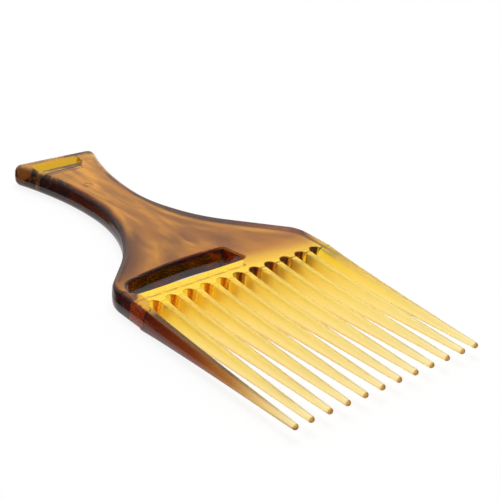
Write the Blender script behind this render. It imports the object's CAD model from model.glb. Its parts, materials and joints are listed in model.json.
"""A translucent amber plastic hair pick, lying on a pale studio floor."""

from __future__ import annotations

import json
import logging
import math
from collections.abc import Iterator
from contextlib import contextmanager
from dataclasses import dataclass
from enum import Enum

import bmesh
import bpy
from mathutils import Euler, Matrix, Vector

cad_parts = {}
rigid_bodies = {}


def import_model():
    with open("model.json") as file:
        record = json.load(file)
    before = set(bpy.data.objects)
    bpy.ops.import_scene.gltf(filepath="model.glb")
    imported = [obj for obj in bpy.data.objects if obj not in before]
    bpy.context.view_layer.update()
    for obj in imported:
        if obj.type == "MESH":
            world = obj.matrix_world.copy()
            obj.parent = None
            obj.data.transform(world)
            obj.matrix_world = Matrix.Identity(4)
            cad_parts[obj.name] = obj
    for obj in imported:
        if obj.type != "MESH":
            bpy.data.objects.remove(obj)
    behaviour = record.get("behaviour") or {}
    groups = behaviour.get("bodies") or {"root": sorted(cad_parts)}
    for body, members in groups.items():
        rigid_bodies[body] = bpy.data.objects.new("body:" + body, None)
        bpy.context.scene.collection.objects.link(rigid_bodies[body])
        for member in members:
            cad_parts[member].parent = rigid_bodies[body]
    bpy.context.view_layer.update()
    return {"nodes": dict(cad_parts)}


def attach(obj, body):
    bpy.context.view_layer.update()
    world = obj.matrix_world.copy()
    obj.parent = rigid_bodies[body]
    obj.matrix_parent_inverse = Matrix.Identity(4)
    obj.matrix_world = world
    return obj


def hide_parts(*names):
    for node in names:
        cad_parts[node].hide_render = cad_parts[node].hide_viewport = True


MM = 0.001

log = logging.getLogger("pick")

Colour = tuple[float, float, float]
Place = tuple[float, float, float]
Span = tuple[float, float]
Table = tuple[tuple[float, float], ...]
Stops = tuple[tuple[float, Colour], ...]
Socket = bpy.types.NodeSocket

BLACK: Colour = (0.0, 0.0, 0.0)


class Zone(Enum):
    """The named zones of the moulding that take turns along its length, and its teeth."""

    FIRST = ("comb_bar", "shoulder", "hang_loop")
    BETWEEN = ("slot_end_post", "slot_inner_web", "handle_grip")
    TEETH = tuple(f"tooth_{number:02d}" for number in range(1, 13))


def clear_everything() -> None:
    """Empty the file, so that only the pick and its studio are in it."""
    for leftover in list(bpy.data.objects):
        bpy.data.objects.remove(leftover, do_unlink=True)


def deselect_all() -> None:
    """Deselect every object."""
    bpy.context.view_layer.update()
    for thing in bpy.context.view_layer.objects:
        if thing is not None:
            thing.select_set(False)


def make_active(thing: bpy.types.Object) -> None:
    """Select one object alone and make it the active one.

    Args:
        thing: The object to work on.
    """
    deselect_all()
    thing.select_set(True)
    bpy.context.view_layer.objects.active = thing


def add_object(name: str, data: bpy.types.ID) -> bpy.types.Object:
    """Put new data into the scene as an object.

    Args:
        name: The object's name.
        data: Its mesh, camera or lamp.

    Returns:
        The new object.
    """
    thing = bpy.data.objects.new(name, data)
    bpy.context.scene.collection.objects.link(thing)
    return thing


@contextmanager
def whole_mesh(thing: bpy.types.Object) -> Iterator[None]:
    """Work on the whole mesh of one object in edit mode.

    Args:
        thing: The mesh object.

    Yields:
        Nothing, while all of the mesh is selected.
    """
    make_active(thing)
    bpy.ops.object.mode_set(mode="EDIT")
    bpy.ops.mesh.select_all(action="SELECT")
    yield
    bpy.ops.object.mode_set(mode="OBJECT")


def apply_modifier(thing: bpy.types.Object, kind: str, **settings: object) -> None:
    """Add a modifier, set it and apply it.

    Args:
        thing: The mesh object that it changes.
        kind: The modifier's type.
        **settings: Its settings by name.
    """
    make_active(thing)
    change = thing.modifiers.new(kind.lower(), kind)
    for key, value in settings.items():
        setattr(change, key, value)
    bpy.ops.object.modifier_apply(modifier=change.name)


def is_closed(thing: bpy.types.Object) -> bool:
    """Tell whether every edge of a mesh has two faces.

    Args:
        thing: The mesh object.

    Returns:
        True if the mesh is closed.
    """
    mesh = bmesh.new()
    mesh.from_mesh(thing.data)
    closed = all(edge.is_manifold for edge in mesh.edges)
    mesh.free()
    return closed


def look_up(table: Table, place: float) -> float:
    """Read a value off a table, straight from row to row.

    Args:
        table: The rows of place and value, in order of place.
        place: The place to look up.

    Returns:
        The value there, or the nearest end's.
    """
    if place <= table[0][0]:
        return table[0][1]
    for (low, low_value), (high, high_value) in zip(table, table[1:]):
        if place <= high:
            return low_value + (high_value - low_value) * (place - low) / (high - low)
    return table[-1][1]


@dataclass
class NodeBench:
    """A short way to lay out and wire a material's nodes.

    Attributes:
        tree: The node tree that is worked on.
    """

    tree: bpy.types.NodeTree

    @classmethod
    def for_material(cls, name: str) -> tuple[bpy.types.Material, NodeBench]:
        """Make an empty material.

        Args:
            name: The material's name.

        Returns:
            The material and the bench for its nodes.
        """
        material = bpy.data.materials.new(name)
        material.use_nodes = True
        material.node_tree.nodes.clear()
        return material, cls(material.node_tree)

    def add(
        self, kind: str, settings: dict[str, object] | None = None, **inputs: object
    ) -> bpy.types.Node:
        """Add a node.

        Args:
            kind: The node's type without its ShaderNode prefix.
            settings: The node's own settings by name.
            **inputs: Input values or sockets to wire, with _ for a space in the name.

        Returns:
            The new node.
        """
        node = self.tree.nodes.new("ShaderNode" + kind)
        for key, value in (settings or {}).items():
            setattr(node, key, value)
        for key, value in inputs.items():
            self.feed(node.inputs[key.replace("_", " ")], value)
        return node

    def feed(self, target: Socket, value: object) -> None:
        """Wire a socket to another one, or set its value.

        Args:
            target: The input socket.
            value: A socket, or a plain value.
        """
        if isinstance(value, bpy.types.NodeSocket):
            self.tree.links.new(value, target)
        elif target.type == "RGBA" and isinstance(value, tuple):
            target.default_value = (*value, 1.0)
        else:
            target.default_value = value

    def math(self, operation: str, first: object, second: object) -> Socket:
        """Work out one sum of two values.

        Args:
            operation: The Math node's operation.
            first: The first socket or number.
            second: The second socket or number.

        Returns:
            The result's socket.
        """
        node = self.add("Math", {"operation": operation})
        self.feed(node.inputs[0], first)
        self.feed(node.inputs[1], second)
        return node.outputs[0]

    def vector_math(self, operation: str, *inputs: object) -> bpy.types.Node:
        """Work out one sum of vectors.

        Args:
            operation: The Vector Math node's operation.
            *inputs: Its sockets or vectors.

        Returns:
            The node.
        """
        node = self.add("VectorMath", {"operation": operation})
        for target, value in zip(node.inputs, inputs):
            self.feed(target, value)
        return node

    def product(self, first: Socket, *others: object) -> Socket:
        """Multiply values.

        Args:
            first: The first value's socket.
            *others: More sockets or numbers.

        Returns:
            The product's socket.
        """
        for other in others:
            first = self.math("MULTIPLY", first, other)
        return first

    def ramp(
        self, value: Socket, low: object, high: object, start: float = 0.0, end: float = 1.0
    ) -> Socket:
        """Turn a range of a value smoothly into another range.

        Args:
            value: The value's socket.
            low: Where the range starts, as a number or a socket.
            high: Where it ends.
            start: What low becomes.
            end: What high becomes.

        Returns:
            The result's socket.
        """
        node = self.add("MapRange", {"interpolation_type": "SMOOTHSTEP"}, Value=value)
        self.feed(node.inputs["From Min"], low)
        self.feed(node.inputs["From Max"], high)
        self.feed(node.inputs["To Min"], start)
        self.feed(node.inputs["To Max"], end)
        return node.outputs["Result"]

    def between(self, value: Socket, limits: Span, blur: float) -> Socket:
        """Tell where a value is between two limits.

        Args:
            value: The value's socket.
            limits: The lower and the upper limit.
            blur: How softly each limit is drawn.

        Returns:
            The mask's socket.
        """
        low, high = limits
        rise = self.ramp(value, low - blur, low + blur)
        fall = self.ramp(value, high - blur, high + blur, 1.0, 0.0)
        return self.product(rise, fall)

    def mix(self, share: Socket, first: object, second: object) -> Socket:
        """Mix two colours.

        Args:
            share: How much of the second colour is used.
            first: The first colour or its socket.
            second: The second colour or its socket.

        Returns:
            The mixed colour's socket.
        """
        node = self.add("Mix", {"data_type": "RGBA"})
        factor, colour_a, colour_b = node.inputs[0], node.inputs[6], node.inputs[7]
        self.feed(factor, share)
        self.feed(colour_a, first)
        self.feed(colour_b, second)
        return node.outputs[2]

    def stops(self, value: Socket, places: Stops) -> Socket:
        """Colour a length by stops along it.

        Args:
            value: The place along the length.
            places: Each stop's place and colour, in order.

        Returns:
            The colour's socket.
        """
        start, end = places[0][0], places[-1][0]
        share = self.math("DIVIDE", self.math("SUBTRACT", value, start), end - start)
        node = self.add("ValToRGB", Fac=share)
        elements = node.color_ramp.elements
        while len(elements) < len(places):
            elements.new(0.5)
        for element, (where, colour) in zip(elements, places):
            element.position = (where - start) / (end - start)
            element.color = (*colour, 1.0)
        return node.outputs["Color"]


@dataclass(frozen=True)
class ToothRow:
    """The twelve long teeth, softly rounded and with round ends.

    Attributes:
        count: How many teeth there are.
        root_pitch: The step from tooth to tooth at the root, in metres.
        root_shift: How far the row of roots stands off the middle.
        tip_pitch: The step from tip to tip.
        tip_shift: How far the row of tips stands off the middle.
        end_tip_shift: How far the first and the last tip stand in towards their neighbours.
        root_half_width: Half of a tooth's width at the root.
        outer_edge: How far the outer sides of the row stand from the middle.
        half_thickness: Half of the thickness at the root.
        tip_radius: The radius of the round ends.
        inside_root: Where a tooth starts inside the bar.
        root: Where a tooth leaves the bar.
        tip: Where the middle of the round end lies.
        inner_lean: How far the inner walls lean in at the root, as a slope.
        outer_lean: The same for the outer walls.
        inner_softness: How round the section is, from 0 for square to 1 for round, by the
            share of the length.
        outer_softness: The same for the outer sides of the row.
        waist: How much slimmer a tooth is at half its length than a straight taper, as a share.
        fit: How much of its full section a tooth keeps, so that it stays clear of the bar's faces.
        inside_fit: The same where it starts inside the bar.
        crowding: The power by which the rings crowd towards the root.
        flattest: The smallest cosine that shapes a section, which keeps its top from a ridge.
        quarter: How many faces go round a quarter of a section.
        rings: How many steps go along a tooth.
        end_rings: How many steps go round its end.
    """

    count: int = 12
    root_pitch: float = 6.3 * MM
    root_shift: float = -1.1 * MM
    tip_pitch: float = 6.5 * MM
    tip_shift: float = -0.6 * MM
    end_tip_shift: float = 0.9 * MM
    root_half_width: float = 1.75 * MM
    outer_edge: float = 37.5 * MM
    half_thickness: float = 3.9 * MM
    tip_radius: float = 0.95 * MM
    inside_root: float = -20.4 * MM
    root: float = -21.0 * MM
    tip: float = -84.7 * MM
    inner_lean: float = 0.1228
    outer_lean: float = 0.0437
    inner_softness: Table = ((0.0, 0.14), (0.12, 0.50), (0.45, 0.74), (1.0, 1.0))
    outer_softness: Table = ((0.0, 0.34), (0.12, 0.50), (0.45, 0.68), (1.0, 1.0))
    waist: float = 0.07
    fit: float = 0.998
    inside_fit: float = 0.985
    crowding: float = 1.3
    flattest: float = 1e-9
    quarter: int = 12
    rings: int = 36
    end_rings: int = 7

    def section(self, number: int, share: float, scale: float, along: float) -> list[Place]:
        """Place the points of one section of a tooth.

        Args:
            number: The tooth's number from 0.
            share: The share of the length from the root.
            scale: The section's scale.
            along: The section's place along the pick.

        Returns:
            The points round the section.
        """
        step = number - (self.count - 1) / 2
        last = self.count - 1
        root_middle = step * self.root_pitch + self.root_shift
        tip_middle = step * self.tip_pitch + self.tip_shift
        tip_middle += {0: self.end_tip_shift, last: -self.end_tip_shift}.get(number, 0.0)
        middle = root_middle + (tip_middle - root_middle) * share
        # 4 * share * (1 - share) is 1 at half the length and 0 at both ends.
        slim = 1 - self.waist * 4 * share * (1 - share)
        thick = (self.half_thickness + (self.tip_radius - self.half_thickness) * share) * slim
        points = []
        for turn in range(4 * self.quarter):
            angle = math.tau * turn / (4 * self.quarter)
            side = 1 if math.cos(angle) >= 0 else -1
            outer = (number == 0 and side < 0) or (number == last and side > 0)
            at_root = self.outer_edge - side * root_middle if outer else self.root_half_width
            lean = (self.outer_lean if outer else self.inner_lean) * (1 - share)
            soft = look_up(self.outer_softness if outer else self.inner_softness, share)
            wide = (at_root + (self.tip_radius - at_root) * share) * (1.0 if outer else slim)
            height = thick * abs(math.sin(angle)) ** soft
            reach = (wide - lean * height) * max(abs(math.cos(angle)), self.flattest) ** soft
            up = 1 if math.sin(angle) >= 0 else -1
            across = middle + side * reach * scale
            points.append((across, along, self.half_thickness + up * height * scale))
        return points

    def sections(self, number: int) -> list[list[Place]]:
        """Place all the sections of one tooth, from inside the bar to just short of its pole.

        Args:
            number: The tooth's number from 0.

        Returns:
            The sections in order.
        """
        placed = [self.section(number, 0.0, self.inside_fit, self.inside_root)]
        for ring in range(self.rings + 1):
            share = (ring / self.rings) ** self.crowding
            along = self.root + (self.tip - self.root) * share
            placed.append(self.section(number, share, self.fit, along))
        for ring in range(1, self.end_rings):
            bend = math.pi / 2 * ring / self.end_rings
            along = self.tip - self.tip_radius * math.sin(bend)
            placed.append(self.section(number, 1.0, self.fit * math.cos(bend), along))
        return placed

    def build(self) -> bpy.types.Object:
        """Loft all the teeth, which no primitive gives the changing section of.

        Returns:
            One object with twelve closed shells.
        """
        points: list[Place] = []
        faces: list[list[int]] = []
        size = 4 * self.quarter
        for number in range(self.count):
            placed = self.sections(number)
            start = len(points)
            for section in placed:
                points.extend(section)
            faces.append([start + turn for turn in range(size)])
            for ring in range(len(placed) - 1):
                low, high = start + ring * size, start + (ring + 1) * size
                for turn in range(size):
                    after = (turn + 1) % size
                    faces.append([low + turn, high + turn, high + after, low + after])
            pole = len(points)
            middle = sum(point[0] for point in placed[-1]) / size
            points.append((middle, self.tip - self.tip_radius, self.half_thickness))
            last = pole - size
            faces.extend([last + turn, pole, last + (turn + 1) % size] for turn in range(size))
        data = bpy.data.meshes.new("tooth_row")
        data.from_pydata(points, [], faces)
        row = add_object("tooth_row", data)
        with whole_mesh(row):
            bpy.ops.mesh.normals_make_consistent(inside=False)
        log.info("tooth row closed: %s", is_closed(row))
        return row


@dataclass(frozen=True)
class PickMoulding:
    """The whole pick as the one shot of plastic that it is.

    Attributes:
        name: The piece's name.
        weld_reach: Points nearer than this are one point, in metres.
        crease_angle: Edges sharper than this stay sharp, in degrees.
        mid_plane: The height of the parting line, in metres.
        clearance: How far the rim form stands clear of the faces that it leaves alone.
        draft: How far each half of the wall leans in over its height, in metres.
        front: Where the rim form ends, well past the tooth tips.
        tooth_front: Where the outline is left to the teeth.
        outer_wall_rise: How far up the faces of the outer wall look, at least and at most.
        digits: To how many digits a place in metres is rounded, so that the same point is found.
        rim_rounds: The rim's radius by the place along the length, in metres.
        rim_steps: How many faces go round the rim.
        crumb: A loose part with fewer points than this is a leftover and goes.
    """

    name: str = "pick_moulding"
    weld_reach: float = 0.002 * MM
    crease_angle: float = 40.0
    mid_plane: float = 3.9 * MM
    clearance: float = 0.01 * MM
    draft: float = 0.17 * MM
    front: float = -95 * MM
    tooth_front: float = -20.9 * MM
    outer_wall_rise: Span = (0.01, 0.2)
    digits: int = 6
    rim_rounds: Table = (
        (-26 * MM, 1.3 * MM),
        (-21 * MM, 1.4 * MM),
        (-8 * MM, 1.7 * MM),
        (10 * MM, 2.2 * MM),
        (72 * MM, 2.3 * MM),
        (80 * MM, 2.6 * MM),
    )
    rim_steps: int = 10
    crumb: int = 12

    def copy_zones(self, nodes: dict[str, bpy.types.Object], zone: Zone) -> bpy.types.Object:
        """Copy some zones into one closed mesh of several shells.

        Args:
            nodes: The CAD nodes by name.
            zone: Which of the zones to copy.

        Returns:
            The object that holds the copied shells.
        """
        copies = [
            add_object(f"{self.name}_{node_name}", nodes[node_name].data.copy())
            for node_name in zone.value
        ]
        make_active(copies[0])
        for shell in copies:
            shell.select_set(True)
        bpy.ops.object.join()
        joined = bpy.context.view_layer.objects.active
        with whole_mesh(joined):
            bpy.ops.mesh.remove_doubles(threshold=self.weld_reach)
        return joined

    def combine(self, body: bpy.types.Object, other: bpy.types.Object, operation: str) -> None:
        """Join or trim the body with another closed form, which is used up.

        Args:
            body: The form that is changed.
            other: The form that is joined to it or trims it.
            operation: UNION or INTERSECT.
        """
        apply_modifier(body, "BOOLEAN", operation=operation, solver="MANIFOLD", object=other)
        bpy.data.objects.remove(other, do_unlink=True)

    def outline_steps(self, body: bpy.types.Object) -> dict[Span, set[Span]]:
        """Find the edges of the parting line on the outer wall.

        Args:
            body: The joined body.

        Returns:
            The neighbours of each point of the line, by its place across and along the pick.
        """
        least, most = self.outer_wall_rise
        mesh = bmesh.new()
        mesh.from_mesh(body.data)
        neighbours: dict[Span, set[Span]] = {}
        for edge in mesh.edges:
            if any(abs(point.co.z - self.mid_plane) > self.weld_reach for point in edge.verts):
                continue
            if any(not least < abs(face.normal.z) < most for face in edge.link_faces):
                continue
            first, second = (
                (round(point.co.x, self.digits), round(point.co.y, self.digits))
                for point in edge.verts
            )
            if first != second:
                neighbours.setdefault(first, set()).add(second)
                neighbours.setdefault(second, set()).add(first)
        mesh.free()
        return neighbours

    def parting_line(self, body: bpy.types.Object) -> list[Vector]:
        """Follow the parting line round the handle, from tooth to tooth.

        Args:
            body: The joined body.

        Returns:
            The points of the line in order.
        """
        neighbours = self.outline_steps(body)
        start = max(neighbours, key=lambda place: place[1])
        sides = []
        for step in sorted(neighbours[start]):
            walked = [start, step]
            while walked[-1][1] > self.tooth_front:
                onward = [place for place in neighbours[walked[-1]] if place != walked[-2]]
                if not onward:
                    break
                walked.append(onward[0])
            sides.append(walked)
        near, far = sorted(sides, key=lambda walked: walked[-1][0])
        log.info("parting line: %d points near and %d far", len(near), len(far))
        return [Vector((*place, 0.0)) for place in [*reversed(near), *far[1:]]]

    def weigh_rim(self, form: bpy.types.Object, half: float, largest: float) -> None:
        """Weight the rim's edges by the radius that each one gets.

        Args:
            form: The square-edged rim form.
            half: Half of its thickness.
            largest: The largest radius of the rim.
        """
        data = form.data
        weights = data.attributes.new("bevel_weight_edge", "FLOAT", "EDGE")
        for edge in data.edges:
            ends = [data.vertices[number].co for number in edge.vertices]
            in_face = all(abs(abs(end.z) - half) < self.weld_reach for end in ends)
            middle = (ends[0].y + ends[1].y) / 2
            if in_face and middle > self.front + MM:
                weights.data[edge.index].value = look_up(self.rim_rounds, middle) / largest

    def rim_form(self, body: bpy.types.Object) -> bpy.types.Object:
        """Model a plate with the outline of the pick and a softly rounded rim.

        Args:
            body: The joined body, whose parting line is followed.

        Returns:
            The closed form that trims the body.
        """
        line = self.parting_line(body)
        half = self.mid_plane + self.clearance
        corners = [Vector((line[0].x, self.front, 0)), *line, Vector((line[-1].x, self.front, 0))]
        data = bpy.data.meshes.new("rim_form")
        data.from_pydata(corners, [], [list(range(len(corners)))[::-1]])
        form = add_object("rim_form", data)
        form.location.z = self.mid_plane
        with whole_mesh(form):
            bpy.ops.mesh.normals_make_consistent(inside=False)
        if data.polygons[0].normal.z < 0:
            data.flip_normals()
        with whole_mesh(form):
            bpy.ops.mesh.inset(thickness=self.draft, depth=half, use_even_offset=True)
        apply_modifier(
            form, "MIRROR", use_axis=(False, False, True), merge_threshold=self.weld_reach
        )
        largest = max(radius for _, radius in self.rim_rounds)
        self.weigh_rim(form, half, largest)
        apply_modifier(
            form,
            "BEVEL",
            limit_method="WEIGHT",
            width=largest,
            segments=self.rim_steps,
            use_clamp_overlap=False,
        )
        with whole_mesh(form):
            bpy.ops.mesh.remove_doubles(threshold=self.weld_reach)
            bpy.ops.mesh.normals_make_consistent(inside=False)
        bpy.ops.object.transform_apply(location=True, rotation=True, scale=True)
        return form

    def drop_crumbs(self, body: bpy.types.Object) -> None:
        """Delete the tiny loose parts that a trim can leave behind.

        Args:
            body: The body to clean.
        """
        mesh = bmesh.new()
        mesh.from_mesh(body.data)
        unseen = set(mesh.verts)
        while unseen:
            part, still_to_follow = set(), [unseen.pop()]
            while still_to_follow:
                point = still_to_follow.pop()
                part.add(point)
                for edge in point.link_edges:
                    other = edge.other_vert(point)
                    if other in unseen:
                        unseen.discard(other)
                        still_to_follow.append(other)
            if len(part) < self.crumb:
                log.info("a crumb of %d points goes", len(part))
                bmesh.ops.delete(mesh, geom=list(part), context="VERTS")
        mesh.to_mesh(body.data)
        mesh.free()

    def build(self, nodes: dict[str, bpy.types.Object]) -> bpy.types.Object:
        """Join the zones into one continuous body with a soft rim and no seams inside it.

        Args:
            nodes: The CAD nodes by name.

        Returns:
            The moulding's object, at the origin.
        """
        body = self.copy_zones(nodes, Zone.FIRST)
        self.combine(body, self.copy_zones(nodes, Zone.BETWEEN), "UNION")
        form = self.rim_form(body)
        log.info("body closed: %s, form closed: %s", is_closed(body), is_closed(form))
        self.combine(body, form, "INTERSECT")
        self.drop_crumbs(body)
        self.combine(body, ToothRow().build(), "UNION")
        self.drop_crumbs(body)
        body.name = self.name
        body.data.name = self.name
        with whole_mesh(body):
            bpy.ops.mesh.normals_make_consistent(inside=False)
        bpy.ops.object.shade_smooth_by_angle(angle=math.radians(self.crease_angle))
        apply_modifier(body, "WEIGHTED_NORMAL", keep_sharp=True)
        log.info("moulding closed: %s", is_closed(body))
        return body

    def dress(self, body: bpy.types.Object) -> None:
        """Give the moulding its plastic in place of the CAD's plain finish.

        Args:
            body: The moulding's object.
        """
        body.data.materials.clear()
        body.data.materials.append(AmberPlastic().make())


@dataclass(frozen=True)
class Drift:
    """Another dye that drifts through the plastic in soft clouds.

    Attributes:
        colour: Its tint.
        scale: How small its clouds are.
        show: Between which values of the noise a cloud grows from nothing to full.
        strength: How much of the tint a full cloud has.
        shift: How far its noise is shifted, so that each dye has clouds of its own.
        detail: How many finer layers the noise has.
        roughness: How strong the finer layers are.
        distortion: How much the noise is stirred.
    """

    colour: Colour
    scale: float
    show: Span
    strength: float
    shift: Place = (0.0, 0.0, 0.0)
    detail: float = 2.0
    roughness: float = 0.45
    distortion: float = 0.6

    def share(self, bench: NodeBench, flow: Socket, drawn: Socket) -> Socket:
        """Work out how much of the dye is at a point.

        Args:
            bench: The material's bench.
            flow: The place along and across the flow of the dye.
            drawn: Where the dye is drawn at all.

        Returns:
            The share's socket.
        """
        noise = bench.add(
            "TexNoise",
            Vector=bench.vector_math("ADD", flow, self.shift).outputs["Vector"],
            Scale=self.scale,
            Detail=self.detail,
            Roughness=self.roughness,
            Distortion=self.distortion,
        )
        return bench.product(bench.ramp(noise.outputs["Fac"], *self.show), drawn, self.strength)


@dataclass(frozen=True)
class Spot:
    """What the material knows about a point, as sockets.

    Attributes:
        x: Its place across the pick.
        y: Its place along the pick.
        z: Its height.
        from_near: How far it stands in from the near edge.
        from_far: How far it stands in from the far edge.
        flow: Its place along and across the flow of the dye.
        normal: The direction that its face looks in.
        upright: Whether its face is a wall.
        leftward: Whether its face looks towards the slot's side.
        inner: Whether it is seen from inside the plastic.
        indirect: Whether it is seen through something else.
        first: Whether it is on the outer side of the first tooth.
        at_gap: Whether it is at the ends of the gaps between the teeth.
    """

    x: Socket
    y: Socket
    z: Socket
    from_near: Socket
    from_far: Socket
    flow: Socket
    normal: Socket
    upright: Socket
    leftward: Socket
    inner: Socket
    indirect: Socket
    first: Socket
    at_gap: Socket


@dataclass(frozen=True)
class AmberPlastic:
    """The dyed see-through plastic, brown in the handle and pale at the tips.

    All places are in metres. A pair that a mask is drawn by gives the place where the mask
    starts and the place where it is full, so its first number may be the larger one.

    Attributes:
        name: The material's name.
        body: The tint of the faces, by the place along the pick.
        wall: The darker tint of the upright walls.
        outer_wall: The tint of the outer side of the first tooth.
        outer_top: The tint of the first tooth's top.
        gap_by_slot: The tint of the gap ends that have the slot behind them.
        gap_side: The same where the gap's wall faces the first tooth.
        gap_by_web: The tint of the gap ends that have the solid head behind them.
        gap_inside: The tint of the gap ends where they are seen through the plastic.
        hole_wall: The tint of the hanging hole's walls.
        end_wall: The tint of the handle's end, which glows behind the hole.
        slot_through_bar: The tint of the slot's far wall where it is seen through the bar.
        cap: The tint of the teeth's round ends.
        rim_dark: The dark tint along the handle's near rim.
        dark_drift: The darker dye that drifts through the handle and lies at the neck.
        light_drift: The lighter dye that drifts through the handle.
        gleam: The light that the bar and the teeth carry inside them and scatter.
        edges: How far the near and the far edge stand from the middle, each after the place
            along the pick.
        edge_scale: What an edge's distance is multiplied by, to keep it as a grey.
        flow_scale: How the flow of the dye is stretched across, along and up the pick.
        drift_along: Where the drifting dyes start, behind the bar.
        bar_slant: How much the yellow of the bar slants towards the far side.
        near_band: How the dark band along the near rim fades, by the distance from the edge.
        far_band: The same for the dark line along the far rim.
        far_band_strength: How dark that line is.
        bands_along: Where both bands start.
        neck_cloud: How the dark cloud at the neck fades, by the distance from the near edge.
        neck_along: From where to where the cloud at the neck lies.
        neck_blur: How softly it starts and ends.
        side_change: Where the faces change from the slot's side to the far side of the head.
        wall_by_slot: The rise of a face's normal up to which it is all wall on the slot's side,
            and from which it isn't wall at all.
        wall_by_web: The same on the far side.
        look_left: How far across a face looks before it counts as facing the slot's side.
        slot_to_web: Where the head behind the gap ends changes from slot to solid.
        gap_ends: From where to where the gap ends lie along the pick.
        gap_blur: How softly they start and end.
        hole_across: From where to where the hanging hole lies across the pick.
        hole_along: The same along the pick.
        hole_blur: How softly its walls' tint ends.
        slot_back: Where the slot's walls start, from the handle.
        slot_front: Where they start, from the teeth.
        end_along: Where the handle's end starts along the pick.
        end_across: Where its glow starts across the pick.
        first_across: Where the first tooth starts across the pick.
        first_along: Where it starts along the pick.
        cap_along: Where the round ends start.
        wall_tilt: How far the upper part of the walls leans back in reflections, as a slope.
        tilt_along: Where the leaning back starts.
        tilt_up: Between which heights it grows.
        ior: How strongly the plastic bends light.
        clear_share: The share of light that goes through the surface.
        head_roughness: How much the head and the handle blur what is seen in them.
        tooth_roughness: The same for the teeth, which look frosted.
        frost_along: Where the teeth change from clear to frosted.
        first_frost_along: The same for the first tooth.
        dye: What the light keeps of its colour on its way through.
        dye_density: How much of it is taken, per metre.
    """

    name: str = "amber_plastic"
    body: Stops = (
        (-0.0850, (1.00, 0.90, 0.66)),
        (-0.0500, (1.00, 0.86, 0.46)),
        (-0.0240, (1.00, 0.86, 0.20)),
        (-0.0135, (1.00, 0.84, 0.12)),
        (-0.0105, (0.80, 0.44, 0.07)),
        (-0.0040, (0.40, 0.16, 0.025)),
        (0.0100, (0.42, 0.18, 0.03)),
        (0.0400, (0.50, 0.23, 0.04)),
        (0.0700, (0.56, 0.28, 0.06)),
        (0.0860, (0.60, 0.32, 0.09)),
    )
    wall: Stops = (
        (-0.0850, (1.00, 0.86, 0.56)),
        (-0.0500, (1.00, 0.80, 0.34)),
        (-0.0215, (1.00, 0.72, 0.12)),
        (-0.0130, (1.00, 0.66, 0.08)),
        (-0.0118, (0.20, 0.032, 0.004)),
        (-0.0060, (0.06, 0.006, 0.001)),
        (0.0060, (0.012, 0.002, 0.001)),
        (0.0715, (0.006, 0.001, 0.001)),
        (0.0736, (0.003, 0.001, 0.001)),
        (0.0745, (0.05, 0.011, 0.002)),
        (0.0860, (0.03, 0.007, 0.002)),
    )
    outer_wall: Stops = (
        (-0.0850, (1.00, 0.86, 0.60)),
        (-0.0740, (0.90, 0.66, 0.36)),
        (-0.0600, (0.42, 0.17, 0.050)),
        (-0.0450, (0.18, 0.030, 0.004)),
        (-0.0300, (0.09, 0.007, 0.0008)),
        (-0.0200, (0.05, 0.003, 0.0005)),
        (-0.0060, (0.015, 0.0012, 0.0005)),
    )
    outer_top: Stops = (
        (-0.0850, (1.00, 0.85, 0.55)),
        (-0.0720, (0.40, 0.25, 0.12)),
        (-0.0600, (0.05, 0.02, 0.01)),
        (-0.0260, (0.02, 0.008, 0.004)),
        (-0.0215, (0.60, 0.30, 0.05)),
        (-0.0060, (0.60, 0.30, 0.05)),
    )
    gap_by_slot: Colour = (1.0, 0.80, 0.12)
    gap_side: Colour = (0.36, 0.06, 0.001)
    gap_by_web: Colour = (0.035, 0.0012, 0.0001)
    gap_inside: Colour = (1.0, 0.80, 0.20)
    hole_wall: Colour = (1.0, 0.78, 0.14)
    end_wall: Colour = (0.55, 0.30, 0.06)
    slot_through_bar: Colour = (0.90, 0.42, 0.06)
    cap: Colour = (0.55, 0.22, 0.04)
    rim_dark: Colour = (0.05, 0.010, 0.003)
    dark_drift: Drift = Drift((0.09, 0.022, 0.006), 1.6, (0.42, 0.80), 0.8)
    light_drift: Drift = Drift((0.95, 0.52, 0.07), 1.9, (0.46, 0.74), 0.9, (5.2, 1.7, 3.1))
    gleam: Stops = (
        (-0.0860, BLACK),
        (-0.0650, (0.015, 0.018, 0.020)),
        (-0.0400, (0.040, 0.042, 0.030)),
        (-0.0200, (0.045, 0.045, 0.006)),
        (-0.0135, (0.045, 0.040, 0.000)),
        (-0.0105, BLACK),
    )
    edges: tuple[Place, ...] = (
        (-0.012, 0.0375, 0.0375),
        (-0.008, 0.0373, 0.0373),
        (-0.005, 0.0363, 0.0363),
        (-0.002, 0.0340, 0.0341),
        (0.002, 0.0300, 0.03045),
        (0.008, 0.0240, 0.0250),
        (0.012, 0.0207, 0.0214),
        (0.016, 0.0180, 0.0181),
        (0.020, 0.0157, 0.0154),
        (0.025, 0.0135, 0.0128),
        (0.030, 0.0118, 0.0109),
        (0.036, 0.0104, 0.0093),
        (0.042, 0.0097, 0.0086),
        (0.048, 0.0097, 0.0085),
        (0.054, 0.0101, 0.0089),
        (0.060, 0.0108, 0.0096),
        (0.072, 0.0135, 0.0123),
        (0.082, 0.0169, 0.0154),
        (0.086, 0.0169, 0.0154),
    )
    edge_scale: float = 20.0
    flow_scale: Place = (3.0, 26.0, 40.0)
    drift_along: Span = (-0.010, 0.004)
    bar_slant: float = 0.16
    near_band: Span = (0.0036, 0.0006)
    far_band: Span = (0.0009, 0.0004)
    far_band_strength: float = 0.8
    bands_along: Span = (-0.008, 0.006)
    neck_cloud: Span = (0.0150, 0.0010)
    neck_along: Span = (-0.002, 0.020)
    neck_blur: float = 0.006
    side_change: Span = (-0.004, 0.006)
    wall_by_slot: Span = (0.75, 0.985)
    wall_by_web: Span = (0.30, 0.80)
    look_left: Span = (-0.15, -0.45)
    slot_to_web: Span = (-0.009, 0.002)
    gap_ends: Span = (-0.0206, -0.0165)
    gap_blur: float = 0.0004
    hole_across: Span = (-0.0126, 0.0068)
    hole_along: Span = (0.0745, 0.0811)
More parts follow.
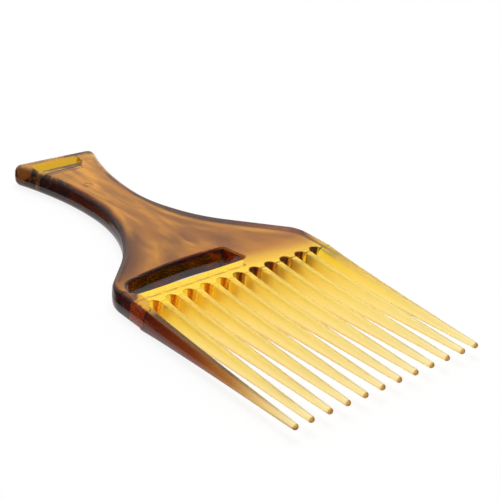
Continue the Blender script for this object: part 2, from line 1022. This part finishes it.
    hole_blur: float = 0.0003
    slot_back: Span = (0.006, 0.002)
    slot_front: Span = (-0.0128, -0.0115)
    end_along: Span = (0.0836, 0.0846)
    end_across: Span = (-0.0150, -0.0120)
    first_across: Span = (-0.0325, -0.0335)
    first_along: Span = (-0.004, -0.008)
    cap_along: Span = (-0.0845, -0.0851)
    wall_tilt: float = 0.45
    tilt_along: Span = (-0.012, 0.0)
    tilt_up: Span = (0.0022, 0.0042)
    ior: float = 1.5
    clear_share: float = 0.96
    head_roughness: float = 0.12
    tooth_roughness: float = 0.30
    frost_along: Span = (-0.016, -0.024)
    first_frost_along: Span = (-0.050, -0.075)
    dye: Colour = (0.985, 0.87, 0.0)
    dye_density: float = 200.0

    def edge_distances(self, bench: NodeBench, y: Socket) -> list[Socket]:
        """Look up how far the two edges stand from the middle.

        Args:
            bench: The material's bench.
            y: The place along the pick.

        Returns:
            The sockets of the near and the far distance, in metres.
        """
        distances = []
        for side in (1, 2):
            greys = tuple((row[0], (row[side] * self.edge_scale,) * 3) for row in self.edges)
            distances.append(bench.math("DIVIDE", bench.stops(y, greys), self.edge_scale))
        return distances

    def find_spot(self, bench: NodeBench) -> Spot:
        """Work out all that the material knows about a point.

        Args:
            bench: The material's bench.

        Returns:
            The sockets.
        """
        coordinates = bench.add("TexCoord").outputs
        geometry = bench.add("NewGeometry").outputs
        at = bench.add("SeparateXYZ", Vector=coordinates["Object"]).outputs
        facing = bench.add("SeparateXYZ", Vector=coordinates["Normal"]).outputs
        x, y, z = at["X"], at["Y"], at["Z"]
        near, far = self.edge_distances(bench, y)
        from_near = bench.math("ADD", x, near)
        share_across = bench.math("DIVIDE", from_near, bench.math("ADD", near, far))
        across, along, up = self.flow_scale
        flow = bench.add(
            "CombineXYZ",
            X=bench.product(share_across, across),
            Y=bench.product(y, along),
            Z=bench.product(z, up),
        )
        wall_ends, face_starts = (
            bench.ramp(x, *self.side_change, by_slot, by_web)
            for by_slot, by_web in zip(self.wall_by_slot, self.wall_by_web)
        )
        rise = bench.math("ABSOLUTE", facing["Z"], 0.0)
        return Spot(
            x=x,
            y=y,
            z=z,
            from_near=from_near,
            from_far=bench.math("SUBTRACT", far, x),
            flow=flow.outputs[0],
            normal=geometry["Normal"],
            upright=bench.ramp(rise, wall_ends, face_starts, 1.0, 0.0),
            leftward=bench.ramp(facing["X"], *self.look_left),
            inner=geometry["Backfacing"],
            indirect=bench.math("SUBTRACT", 1.0, bench.add("LightPath").outputs["Is Camera Ray"]),
            first=bench.product(
                bench.ramp(x, *self.first_across), bench.ramp(y, *self.first_along)
            ),
            at_gap=bench.between(y, self.gap_ends, self.gap_blur),
        )

    def face_tint(self, bench: NodeBench, spot: Spot) -> Socket:
        """Tint the flat faces, with the drifting dyes and the dark bands along the rim.

        Args:
            bench: The material's bench.
            spot: What is known about the point.

        Returns:
            The tint's socket.
        """
        slant = bench.product(bench.math("MAXIMUM", spot.x, 0.0), self.bar_slant)
        tint = bench.stops(bench.math("ADD", spot.y, slant), self.body)
        in_head = bench.ramp(spot.y, *self.drift_along)
        for drift in (self.dark_drift, self.light_drift):
            tint = bench.mix(drift.share(bench, spot.flow, in_head), tint, drift.colour)
        neck = bench.product(
            bench.ramp(spot.from_near, *self.neck_cloud),
            bench.between(spot.y, self.neck_along, self.neck_blur),
        )
        tint = bench.mix(neck, tint, self.dark_drift.colour)
        near = bench.ramp(spot.from_near, *self.near_band)
        far = bench.ramp(spot.from_far, *self.far_band, 0.0, self.far_band_strength)
        bands = bench.math("MAXIMUM", near, far)
        bands = bench.product(bands, bench.ramp(spot.y, *self.bands_along))
        tint = bench.mix(bands, tint, self.rim_dark)
        return bench.mix(spot.first, tint, bench.stops(spot.y, self.outer_top))

    def gap_tint(self, bench: NodeBench, spot: Spot) -> Socket:
        """Tint the ends of the gaps between the teeth.

        Args:
            bench: The material's bench.
            spot: What is known about the point.

        Returns:
            The tint's socket.
        """
        tint = bench.mix(spot.leftward, self.gap_by_slot, self.gap_side)
        tint = bench.mix(bench.ramp(spot.x, *self.slot_to_web), tint, self.gap_by_web)
        through = bench.math("MAXIMUM", spot.inner, spot.indirect)
        return bench.mix(through, tint, self.gap_inside)

    def wall_tint(self, bench: NodeBench, spot: Spot) -> Socket:
        """Tint the upright walls: those of the outline, the gaps, the slot and the hole.

        Args:
            bench: The material's bench.
            spot: What is known about the point.

        Returns:
            The tint's socket.
        """
        in_hole = bench.product(
            bench.between(spot.x, self.hole_across, self.hole_blur),
            bench.between(spot.y, self.hole_along, self.hole_blur),
        )
        through_bar = bench.product(
            spot.indirect,
            bench.math("SUBTRACT", 1.0, spot.inner),
            bench.ramp(spot.y, *self.slot_back),
            bench.ramp(spot.y, *self.slot_front),
        )
        at_end = bench.product(
            bench.ramp(spot.y, *self.end_along), bench.ramp(spot.x, *self.end_across)
        )
        outer = bench.product(spot.first, spot.leftward)
        tint = bench.stops(spot.y, self.wall)
        for mask, other in (
            (spot.at_gap, self.gap_tint(bench, spot)),
            (in_hole, self.hole_wall),
            (through_bar, self.slot_through_bar),
            (at_end, self.end_wall),
            (outer, bench.stops(spot.y, self.outer_wall)),
        ):
            tint = bench.mix(mask, tint, other)
        return tint

    def bent_normal(self, bench: NodeBench, spot: Spot) -> Socket:
        """Lean the upper part of the walls back, as a fuller rounding of the rim would.

        Args:
            bench: The material's bench.
            spot: What is known about the point.

        Returns:
            The shading normal's socket.
        """
        tilted = bench.math("MAXIMUM", bench.ramp(spot.y, *self.tilt_along), spot.first)
        tilt = bench.ramp(spot.z, *self.tilt_up, 0.0, self.wall_tilt)
        up = bench.add("CombineXYZ", Z=bench.product(tilt, tilted, spot.upright)).outputs[0]
        leaning = bench.vector_math("ADD", spot.normal, up).outputs["Vector"]
        return bench.vector_math("NORMALIZE", leaning).outputs["Vector"]

    def frost(self, bench: NodeBench, spot: Spot) -> Socket:
        """Frost the teeth, and the first one later than the others.

        Args:
            bench: The material's bench.
            spot: What is known about the point.

        Returns:
            The roughness's socket.
        """
        limits = (self.head_roughness, self.tooth_roughness)
        return bench.mix(
            spot.first,
            bench.ramp(spot.y, *self.frost_along, *limits),
            bench.ramp(spot.y, *self.first_frost_along, *limits),
        )

    def make(self) -> bpy.types.Material:
        """Build the material.

        Returns:
            The finished material.
        """
        material, bench = NodeBench.for_material(self.name)
        spot = self.find_spot(bench)
        faces, walls = self.face_tint(bench, spot), self.wall_tint(bench, spot)
        colour = bench.mix(spot.upright, faces, walls)
        colour = bench.mix(bench.ramp(spot.y, *self.cap_along), colour, self.cap)
        unlit = bench.math("MAXIMUM", spot.first, bench.product(spot.at_gap, spot.upright))
        shader = bench.add(
            "BsdfPrincipled",
            Base_Color=colour,
            IOR=self.ior,
            Roughness=self.frost(bench, spot),
            Transmission_Weight=self.clear_share,
            Normal=self.bent_normal(bench, spot),
            Emission_Color=bench.mix(unlit, bench.stops(spot.y, self.gleam), BLACK),
            Emission_Strength=1.0,
        )
        absorb = bench.add("VolumeAbsorption", Color=self.dye, Density=self.dye_density)
        bench.add(
            "OutputMaterial", Surface=shader.outputs["BSDF"], Volume=absorb.outputs["Volume"]
        )
        return material


@dataclass(frozen=True)
class Lamp:
    """A soft square lamp that hangs over the pick and shines on it.

    Attributes:
        name: The lamp's name.
        place: Where it hangs, in metres.
        size: The length of its side, in metres.
        power: How bright it is, in watts.
    """

    name: str
    place: Place
    size: float
    power: float

    def hang(self) -> None:
        """Put the lamp into the scene, where no gloss shows its square."""
        data = bpy.data.lights.new(self.name, "AREA")
        data.shape = "SQUARE"
        data.size = self.size
        data.energy = self.power
        lamp = add_object(self.name, data)
        lamp.location = self.place
        lamp.rotation_euler = Vector(self.place).to_track_quat("Z", "Y").to_euler()
        lamp.visible_glossy = False


@dataclass(frozen=True)
class Studio:
    """The floor, the lamps, the room and the camera.

    Attributes:
        eye: Where the camera stands, in metres.
        turn: The camera's rotation, in degrees.
        lens: The camera's focal length, in millimetres.
        sensor: The width of its sensor, in millimetres.
        clip: The nearest and the farthest that it sees, in metres.
        floor_reach: Half of the floor's width, in metres.
        floor_paint: The colour of the floor.
        floor_glow: The share of the floor that the camera sees as plain white.
        floor_white: How bright that plain white is.
        floor_gap: How far the floor lies under the pick, in metres.
        lamps: The lamps.
        bright_side: The direction of the room's bright side.
        bright_from: How far towards it the room starts to brighten and is brightest, as a cosine.
        room_dark: How bright the room is on its dark side.
        room_light: How bright the room is on its bright side.
        room_through: How bright it is at least through the plastic.
    """

    eye: Place = (-0.2154631, -0.2596590, 0.1819000)
    turn: Place = (62.653377, -4.190005, -40.237311)
    lens: float = 86.957
    sensor: float = 36.0
    clip: Span = (0.01, 100.0)
    floor_reach: float = 6.0
    floor_paint: Colour = (0.9, 0.9, 0.9)
    floor_glow: float = 0.85
    floor_white: float = 1.02
    floor_gap: float = 0.1 * MM
    lamps: tuple[Lamp, ...] = (
        Lamp("lamp_top", (0.15, 0.25, 1.3), 0.9, 12.0),
        Lamp("lamp_left", (-1.0, 0.4, 0.8), 0.7, 3.0),
    )
    bright_side: Place = (0.62, 0.60, 0.50)
    bright_from: Span = (0.25, 0.85)
    room_dark: float = 0.10
    room_light: float = 0.7
    room_through: float = 1.1

    def add_camera(self) -> None:
        """Place the camera and give it to the scene."""
        data = bpy.data.cameras.new("camera")
        data.lens = self.lens
        data.sensor_width = self.sensor
        data.clip_start, data.clip_end = self.clip
        camera = add_object("camera", data)
        camera.location = self.eye
        camera.rotation_euler = Euler([math.radians(angle) for angle in self.turn])
        bpy.context.scene.camera = camera

    def add_floor(self) -> None:
        """Lay the pale floor that the pick rests on."""
        deselect_all()
        bpy.ops.mesh.primitive_plane_add(
            size=2 * self.floor_reach, location=(0, 0, -self.floor_gap)
        )
        floor = bpy.context.view_layer.objects.active
        floor.name = "floor"
        material, bench = NodeBench.for_material("floor_white")
        path = bench.add("LightPath").outputs
        seen = bench.product(path["Is Camera Ray"], self.floor_glow)
        for ray in ("Is Glossy Ray", "Is Transmission Ray"):
            seen = bench.math("MAXIMUM", seen, path[ray])
        matte = bench.add("BsdfDiffuse", Color=self.floor_paint)
        glow = bench.add("Emission", Strength=self.floor_white)
        blend = bench.add("MixShader", Fac=seen)
        bench.feed(blend.inputs[1], matte.outputs[0])
        bench.feed(blend.inputs[2], glow.outputs[0])
        bench.add("OutputMaterial", Surface=blend.outputs[0])
        floor.data.materials.append(material)

    def light_room(self) -> None:
        """Light the room softly from its bright side."""
        world = bpy.data.worlds.new("room")
        world.use_nodes = True
        world.node_tree.nodes.clear()
        bench = NodeBench(world.node_tree)
        direction = bench.add("TexCoord").outputs["Generated"]
        toward = bench.vector_math("DOT_PRODUCT", direction, self.bright_side).outputs["Value"]
        light = bench.ramp(toward, *self.bright_from, self.room_dark, self.room_light)
        path = bench.add("LightPath").outputs
        through = bench.product(path["Is Transmission Ray"], self.room_through)
        light = bench.math("MAXIMUM", light, through)
        background = bench.add("Background", Color=(1.0, 1.0, 1.0), Strength=light)
        bench.add("OutputWorld", Surface=background.outputs[0])
        bpy.context.scene.world = world

    def build(self) -> None:
        """Set up the whole studio."""
        self.add_camera()
        self.add_floor()
        for lamp in self.lamps:
            lamp.hang()
        self.light_room()
        bpy.context.scene.view_settings.view_transform = "Standard"


def main() -> None:
    """Build the pick and its studio."""
    logging.basicConfig(level=logging.INFO, format="%(message)s")
    clear_everything()
    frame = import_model()
    Studio().build()
    moulding = PickMoulding()
    piece = moulding.build(frame["nodes"])
    moulding.dress(piece)
    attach(piece, "root")
    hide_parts(*Zone.FIRST.value, *Zone.BETWEEN.value, *Zone.TEETH.value)
    log.info("%s: %d faces", piece.name, len(piece.data.polygons))


if __name__ == "__main__":
    main()
